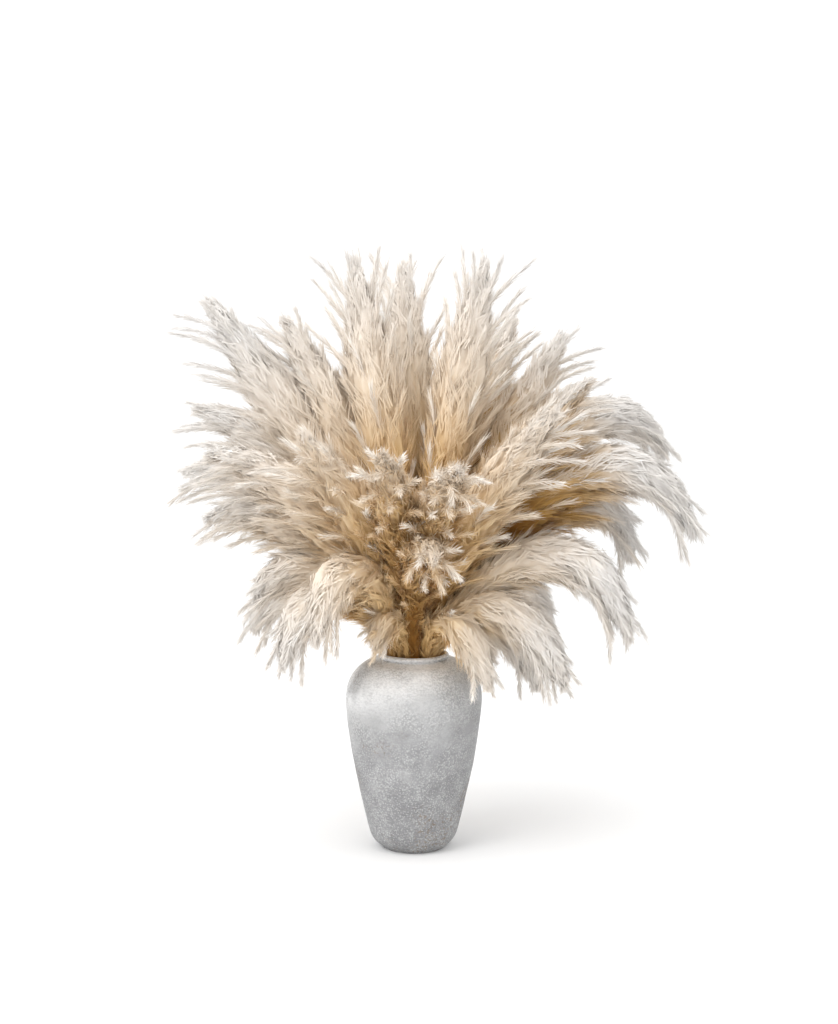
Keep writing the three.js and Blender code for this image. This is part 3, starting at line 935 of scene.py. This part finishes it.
def make_tufts(line, plume, hair):
    """The short tufts over a plume's core, as corners, triangles, tints and facings."""
    count = round((TUFT_LAST - CORE_START) * line.length / TUFT_PITCH)
    chance = np.random.default_rng(TUFT_SEED + plume)
    i = np.arange(count)
    u = CORE_START + (TUFT_LAST - CORE_START) * ((i + 0.5) / count) ** TUFT_CROWDING
    along, side, lift = line.frame_at(u)
    roll = i * GOLDEN_ANGLE + plume + chance.uniform(-TUFT_ROLL_VARIES, TUFT_ROLL_VARIES, count)
    out = rolled(side, lift, roll)
    beside = np.cross(along, out)
    swell = lock_swell(u)
    level = levelness(along)
    on_top = np.clip(out[:, 2], 0, 1) * level
    radius = core_radius(line, u)
    slope = (core_radius(line, u + TUFT_SLOPE_STEP) - radius) / (TUFT_SLOPE_STEP * line.length)
    held = 1 - TUFT_LOWER_ON_TOP * on_top
    rise = slope + TUFT_RISE * chance.uniform(*TUFT_RISE_VARIES, count) * held
    sway = chance.normal(0, TUFT_SWAY, count)
    aim = along * np.cos(rise)[:, None] + out * np.sin(rise)[:, None] + beside * sway[:, None]
    aim[:, 2] -= TUFT_HANGS * level * (1 - on_top)
    aim = unit(aim)
    root = line.at(u) + sag_of(along) + out * (radius + TUFT_ROOT_LIFT)[:, None]
    to_tip = way_between(TUFT_SHORTENS_FROM, 1, u)
    length = TUFT_LENGTH * swell * (1 - TUFT_SHORTENS_BY * to_tip)
    length = length * chance.uniform(*TUFT_LENGTH_VARIES, count)
    length = np.minimum(length, (1 - u) * line.length + TIP_ALLOWANCE)

    shape = (count, TUFT_HAIRS)
    root_spread = TUFT_ROOT_SPREAD * swell[:, None]
    tip_spread = TUFT_TIP_SPREAD * swell[:, None]
    aside = root_spread * chance.normal(0, TUFT_ROOT_ASIDE, shape)
    back = length[:, None] * chance.uniform(*TUFT_ROOT_BACK, shape)
    up = root_spread * chance.uniform(*TUFT_ROOT_UP, shape)
    tip_aside = tip_spread * chance.normal(0, TUFT_TIP_ASIDE, shape)
    tip_up = tip_spread * chance.normal(*TUFT_TIP_UP, shape)
    ahead = length[:, None] * chance.uniform(*TUFT_TIP_AHEAD, shape)
    ends = []
    for forward, sideways, outward in [(back, aside, up), (ahead, tip_aside, tip_up)]:
        moved = aim[:, None] * forward[:, :, None]
        moved = moved + beside[:, None] * sideways[:, :, None] + out[:, None] * outward[:, :, None]
        ends.append((root[:, None] + moved).reshape(-1, 3))
    start, end = ends
    facing = np.repeat(out + along * (TUFT_FACES_AHEAD * to_tip)[:, None], TUFT_HAIRS, axis=0)
    facing = facing + chance.normal(0, TUFT_FACING_VARIES, facing.shape)
    flat = unit(np.cross(unit(end - start), facing))
    inward = np.cross(unit(end - start), flat)
    x, y, z = hair[0].T
    width = TUFT_WIDTH * np.repeat(swell, TUFT_HAIRS)
    width = width * chance.uniform(*HAIR_WIDTH_VARIES, count * TUFT_HAIRS)
    corners = start[:, None] + (end - start)[:, None] * z[None, :, None]
    corners = corners + flat[:, None] * (width[:, None] * x)[:, :, None]
    corners = corners + inward[:, None] * (TUFT_THICKNESS * y)[None, :, None]
    firsts = len(x) * np.arange(len(start))
    triangles = (hair[1][None] + firsts[:, None, None]).reshape(-1, 3)

    # Painted shade on the plume's underside: a deeper tone and a more golden place
    shade = UNDERSIDE_PAINTED_SHADE * np.clip(-out[:, 2] - TUFT_SHADED_FROM, UNDERSIDE_LEAST, 1) * level
    tone = chance.uniform(-TUFT_TONE_VARIES, TUFT_TONE_VARIES, count) - shade
    tone = np.repeat(tone, TUFT_HAIRS)
    tone = tone + chance.uniform(-TUFT_HAIR_TONE_VARIES, TUFT_HAIR_TONE_VARIES, len(start))
    depth = TUFT_TINT + TUFT_TINT_GAIN * z[None] + tone[:, None] + TINT_AROUND * y[None]
    place = np.repeat(u - UNDERSIDE_SHADE_GOLD * shade, TUFT_HAIRS)[:, None]
    place = place + TINT_ACROSS * x[None] + TUFT_PLACE_GAIN * z[None]
    tints = np.stack([place, depth], axis=-1).reshape(-1, 2)
    facings = np.repeat(unit(facing), len(x), axis=0)
    return corners.reshape(-1, 3), triangles, tints, facings


class Locks:
    """The places, directions and sizes of all the locks along one plume."""

    def __init__(self, line, plume):
        last = 1 - LOCK_TIP_SETBACK * line.lock_length / line.length
        count = round((last - LOCK_START) * line.length / LOCK_PITCH)
        i = np.arange(count)
        self.u = LOCK_START + (last - LOCK_START) * ((i + 0.5) / count) ** LOCK_CROWDING
        along, side, lift = line.frame_at(self.u)
        out = rolled(side, lift, i * GOLDEN_ANGLE + plume)
        level = levelness(along)
        on_top = np.clip(out[:, 2] / np.maximum(level, LOCK_LEAST_LEVEL), 0, 1)
        on_top = on_top * way_between(0, LOCK_TOP_MATTERS_FROM, level)
        out[:, 2] -= LOCK_HANGS * level
        out = unit(out - along * np.sum(out * along, axis=1)[:, None])
        self.out = out
        self.swell = lock_swell(self.u)
        varied = 1 + LOCK_LENGTH_VARIES * (2 * draw(i, plume) - 1)
        self.length = line.lock_length * self.swell * varied * (1 - LOCK_SHORTER_ON_TOP * on_top)
        spread = LOCK_LEAST_SPREAD + (LOCK_SPREAD - LOCK_LEAST_SPREAD) * np.sqrt(draw(plume, i))
        spread = spread * (1 - LOCK_HELD_ON_TOP * on_top)
        self.start = along * np.cos(spread)[:, None] + out * np.sin(spread)[:, None]
        end = self.start + LOCK_FLARE * out
        end[:, 2] -= LOCK_DROOP * np.hypot(self.start[:, 0], self.start[:, 1])
        self.end = unit(end)
        ahead = np.clip(np.sum((self.start + self.end) / 2 * along, axis=1), LOCK_LEAST_AHEAD, 1)
        self.length = np.minimum(self.length, ((1 - self.u) * line.length + TIP_ALLOWANCE) / ahead)
        sunk = LOCK_ROOT_SHARE * core_radius(line, self.u)
        self.root = line.at(self.u) + sag_of(along) + out * sunk[:, None]
        self.bend = unit(np.cross(self.start, self.end + LOCK_LEAST_BEND * side))
        self.kind = (i * LOCK_KIND_STEP + plume) % LOCK_KINDS
        self.roll = 2 * math.pi * draw(i + 0.5, plume)
        self.wave = draw(i + 0.25, plume)
        self.tint = draw(i + 0.75, plume) - 0.5
        # Painted shade on the plume's underside
        underside = np.clip(-out[:, 2] - LOCK_SHADED_FROM, UNDERSIDE_LEAST, 1)
        self.shade = UNDERSIDE_PAINTED_SHADE * underside * level
        paler = way_between(LOCK_PALES_FROM, LOCK_PALES_FULL_AT, draw(i + 0.6, plume))
        self.pale = LOCK_TIP_PALES * paler

    def bent(self, i, shape):
        """The corners of lock i: its straight shape laid along its bent line."""
        x, y, s = shape.corners.T
        x = x * self.swell[i]
        y = y * self.swell[i]
        turn = self.roll[i]
        across = x * np.cos(turn) - y * np.sin(turn)
        beside = x * np.sin(turn) + y * np.cos(turn)
        beside = beside + LOCK_WAVE * s * np.sin(2 * math.pi * (LOCK_WAVES * s + self.wave[i]))
        root = self.root[i]
        knee = root + self.start[i] * self.length[i] * LOCK_WIDEST
        tip = knee + self.end[i] * self.length[i] * (1 - LOCK_WIDEST)
        t = s[:, None]
        middle = root * (1 - t) ** 2 + 2 * knee * t * (1 - t) + tip * t**2
        along = unit((knee - root) * (1 - t) + (tip - knee) * t)
        normal = np.cross(self.bend[i], along)
        corners = middle + normal * across[:, None] + self.bend[i] * beside[:, None]
        leans = shape.leans
        lean_across = leans[:, 0] * np.cos(turn) - leans[:, 1] * np.sin(turn)
        lean_beside = leans[:, 0] * np.sin(turn) + leans[:, 1] * np.cos(turn)
        facing = normal * lean_across[:, None] + self.bend[i] * lean_beside[:, None]
        facing = unit(facing + self.out[i] * LOCK_FACES_OUT)
        return corners, facing


def clear_of_vase(corners):
    """Moves what would enter the vase's wall into its mouth, onto its lip or out to its surface."""
    radius = np.hypot(corners[:, 0], corners[:, 1])
    height = corners[:, 2]
    lip_top = VASE_HEIGHT + VASE_CLEARANCE
    lip_low = VASE_OUTLINE[-1][1] * MM
    lip_radius = VASE_LIP[0][0] * MM + VASE_CLEARANCE
    mouth_radius = VASE_LIP[-1][0] * MM - VASE_CLEARANCE
    wall = np.interp(height, VASE_PROFILE[:, 1], VASE_PROFILE[:, 0]) + VASE_CLEARANCE
    wall = np.where(height > lip_low, lip_radius, wall)
    low = height < lip_top
    in_mouth = low & (height > lip_low - MOUTH_DEPTH) & (radius < mouth_radius + MOUTH_WALL_REACH)
    on_lip = low & ~in_mouth & (height > lip_low) & (radius < lip_radius)
    in_body = low & ~in_mouth & ~on_lip & (radius < wall)
    kept = np.where(in_mouth, np.minimum(radius, mouth_radius), np.where(in_body, wall, radius))
    grown = kept / np.maximum(radius, TINY)
    height = np.where(on_lip, lip_top, height)
    return np.column_stack([corners[:, 0] * grown, corners[:, 1] * grown, height])


def tube_triangles(count, sides):
    """The triangles of a closed tube of rings, whose last two corners are the middles of its ends."""
    triangles = []
    for ring in range(count - 1):
        for s in range(sides):
            low = ring * sides + s
            low_next = ring * sides + (s + 1) % sides
            triangles.append((low, low + sides, low_next))
            triangles.append((low_next, low + sides, low_next + sides))
    middle = count * sides
    top = (count - 1) * sides
    for s in range(sides):
        after = (s + 1) % sides
        triangles.append((middle, s, after))
        triangles.append((middle + 1, top + after, top + s))
    return np.array(triangles)


def make_stalk(line):
    """The stalk from the vase's floor to the plume's tip, as corners, triangles, tints and facings."""
    u = np.linspace(0, 1, STALK_STEPS)
    middle = np.vstack([line.foot, line.at(u)])
    along, side, lift = line.frame_at(u)
    stalk = unit(line.poles[0] - line.foot)
    first_side = unit(line.across - (stalk @ line.across) * stalk)
    side = np.vstack([first_side, side])
    lift = np.vstack([np.cross(first_side, stalk), lift])
    radius = STALK_RADIUS * np.concatenate([[1], 1 - STALK_TAPER * u])
    turn = 2 * math.pi * np.arange(STALK_SIDES) / STALK_SIDES
    out = all_round(side, lift, turn)
    rings = middle[:, None] + radius[:, None, None] * out
    corners = np.vstack([rings.reshape(-1, 3), middle[:1], middle[-1:]])
    place = np.concatenate([[0], u])
    place = np.repeat(place, STALK_SIDES) + np.tile(TINT_AROUND_STALK * np.cos(turn), len(middle))
    depth = np.tile(STALK_TINT + STALK_TINT_VARIES * np.sin(turn), len(middle))
    end_tints = [(0, STALK_END_TINT), (1, STALK_END_TINT)]
    tints = np.vstack([np.column_stack([place, depth]), end_tints])
    facing = np.vstack([out.reshape(-1, 3), -stalk[None], along[-1:]])
    return corners, tube_triangles(len(middle), STALK_SIDES), tints, facing


def mesh_of(name, corners, triangles, tints):
    """A mesh from arrays, with the tints as its UV map."""
    mesh = bpy.data.meshes.new(name)
    mesh.vertices.add(len(corners))
    mesh.vertices.foreach_set("co", corners.astype(np.float32).ravel())
    mesh.loops.add(triangles.size)
    mesh.loops.foreach_set("vertex_index", triangles.astype(np.int32).ravel())
    mesh.polygons.add(len(triangles))
    mesh.polygons.foreach_set("loop_start", np.arange(0, triangles.size, 3, dtype=np.int32))
    mesh.update(calc_edges=True)
    layer = mesh.uv_layers.new(name="OFBake")
    layer.data.foreach_set("uv", tints[triangles.ravel()].astype(np.float32).ravel())
    mesh.validate()
    return mesh


def corner_normals(corners, triangles, facings):
    """A normal for each triangle's corner: the soft one where the triangle faces much the same way."""
    places = corners[triangles]
    flat = np.cross(places[:, 1] - places[:, 0], places[:, 2] - places[:, 0])
    flat = flat / np.maximum(np.linalg.norm(flat, axis=-1, keepdims=True), TINY)
    soft = facings[triangles]
    share = np.clip(np.sum(soft * flat[:, None], axis=-1, keepdims=True), 0, 1)
    return unit(soft * share + flat[:, None] * (1 + FLAT_LEAST - share)).reshape(-1, 3)


def tints_in_bunch(number, corners, tints):
    """Shifts a plume's tints by where its floss is in the bunch, and by its paleness, which is painted
    shade where it is below 0.
    """
    place, depth = tints.T
    outer = outerness(corners)
    # Below 0 this is painted shade on the plumes that get less light
    paleness_and_shade = PALENESS_AND_PAINTED_SHADE.get(number, 0) * way_between(PALENESS_AND_SHADE_ENDS_AT, PALENESS_AND_SHADE_FULL_TO, place)
    paleness_and_shade = paleness_and_shade * way_between(1, PALENESS_AND_SHADE_FADES_FROM, outer)
    puff = way_between(PUFFS_FROM, PUFFS_FULL_AT, place) * way_between(1, PUFFS_WITHIN, outer)
    depth = depth + TIP_PALES_BY * way_between(TIP_PALES_FROM, 1, place)
    depth = 1 - (1 - depth) * (1 - OUTER_EVENNESS * outer)
    depth = np.clip(depth - cleft_painted_shade(corners) + paleness_and_shade, 0, DEPTH_MOST)
    # The heart's deeper gold is partly painted shade deep inside the bunch
    place = HEART_SHARE * outer + (1 - HEART_SHARE) * place
    place = place + PALENESS_AND_SHADE_MOVES_PLACE * np.minimum(paleness_and_shade, PALENESS_AND_SHADE_MOST_IN_PLACE)
    return np.column_stack([place, depth + PUFF_RANGE * puff])


def make_plume(number, line, shapes, hair):
    """A whole plume as one mesh: its stalk, its core, the tufts on the core and its locks."""
    locks = Locks(line, number)
    parts = [make_stalk(line), make_core(line, number), make_tufts(line, number, hair)]
    for i in range(len(locks.u)):
        shape = shapes[locks.kind[i]]
        bent, facing = locks.bent(i, shape)
        place = locks.u[i] + shape.corners[:, 2] * locks.length[i] / line.length
        # The lock's colour takes its random tint and the painted shade of the plume's underside
        place = place + LOCK_PLACE_VARIES * locks.tint[i] - UNDERSIDE_SHADE_GOLD * locks.shade[i]
        place = place + shape.tints[:, 0]
        paler = locks.pale[i] * shape.corners[:, 2] ** LOCK_PALES_LATE
        place = place + paler * (1 - outerness(bent))
        depth = shape.tints[:, 1] + LOCK_TINT_VARIES * locks.tint[i] - locks.shade[i]
        parts.append((bent, shape.triangles, np.column_stack([place, depth]), facing))
    firsts = np.cumsum([0] + [len(part[0]) for part in parts])
    floss_corners = clear_of_vase(np.vstack([part[0] for part in parts[1:]]))
    corners = np.vstack([parts[0][0], floss_corners])
    triangles = np.vstack([part[1] + first for part, first in zip(parts, firsts)])
    floss_tints = tints_in_bunch(number, floss_corners, np.vstack([part[2] for part in parts[1:]]))
    tints = np.clip(np.vstack([parts[0][2], floss_tints]), TINT_LEAST, TINT_MOST)
    facings = np.vstack([part[3] for part in parts])
    name = f"plume_{number + 1:02d}_floss"
    mesh = mesh_of(name, corners, triangles, tints)
    mesh.polygons.foreach_set("use_smooth", np.ones(len(mesh.polygons), bool))
    mesh.normals_split_custom_set(corner_normals(corners, triangles, facings))
    plume = bpy.data.objects.new(name, mesh)
    bpy.context.scene.collection.objects.link(plume)
    return plume


def make_stage():
    """A pale floor that sweeps up behind the object."""
    middle = FLOOR_BACK - FLOOR_SWEEP
    profile = [(FLOOR_FRONT, 0.0)]
    for t in np.linspace(0, math.pi / 2, FLOOR_SWEEP_STEPS + 1):
        profile.append((middle + FLOOR_SWEEP * math.sin(t), FLOOR_SWEEP - FLOOR_SWEEP * math.cos(t)))
    profile.append((FLOOR_BACK, FLOOR_TOP))
    corners = [(side * FLOOR_SIDE, y, z) for y, z in profile for side in (-1, 1)]
    faces = [(2 * i, 2 * i + 1, 2 * i + 3, 2 * i + 2) for i in range(len(profile) - 1)]
    floor = mesh_object("floor", corners, [], faces)
    select_only(floor)
    bpy.ops.object.shade_smooth()
    floor.data.materials.append(make_floor_finish())


def add_lamp(name, place, width, power):
    light = bpy.data.lights.new(name, "AREA")
    light.shape = "DISK"
    light.size = width
    light.energy = power
    lamp = bpy.data.objects.new(name, light)
    lamp.location = place
    lamp.rotation_euler = (Vector(LAMPS_AIM) - Vector(place)).to_track_quat("-Z", "Y").to_euler()
    bpy.context.scene.collection.objects.link(lamp)


def light_scene():
    world = bpy.data.worlds.new("soft_white")
    world.use_nodes = True
    sky = world.node_tree.nodes["Background"]
    sky.inputs["Color"].default_value = (1, 1, 1, 1)
    sky.inputs["Strength"].default_value = SKY_STRENGTH
    bpy.context.scene.world = world
    for name, (place, width, power) in LAMPS.items():
        add_lamp(name, place, width, power)
    bpy.context.scene.view_settings.view_transform = "Standard"


def set_camera():
    camera = bpy.data.cameras.new("camera")
    camera.sensor_fit = "VERTICAL"
    camera.sensor_height = FILM_HEIGHT
    camera.lens = VIEW_LENS
    camera.clip_end = VIEW_END
    seen = bpy.data.objects.new("camera", camera)
    back = Vector((0, -math.cos(VIEW_ELEVATION), math.sin(VIEW_ELEVATION)))
    seen.location = VIEW_TARGET + back * VIEW_DISTANCE
    seen.rotation_euler = (-back).to_track_quat("-Z", "Y").to_euler()
    bpy.context.scene.collection.objects.link(seen)
    bpy.context.scene.camera = seen


def main():
    set_camera()
    light_scene()
    make_stage()
    glaze = make_glaze_finish()
    floss = make_floss_finish()

    vase = make_vase()
    vase.data.materials.append(glaze)
    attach(vase, "root")
    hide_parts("vase")

    hair = model_hair()
    body = model_body()
    shapes = [LockShape(kind, hair, body) for kind in range(LOCK_KINDS)]
    for number, (row, spot) in enumerate(zip(PLUMES, mouth_spots())):
        plume = make_plume(number, PlumeLine(row, spot), shapes, hair)
        plume.data.materials.append(floss)
        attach(plume, "root")
        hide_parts(f"plume_{number + 1:02d}")


main()
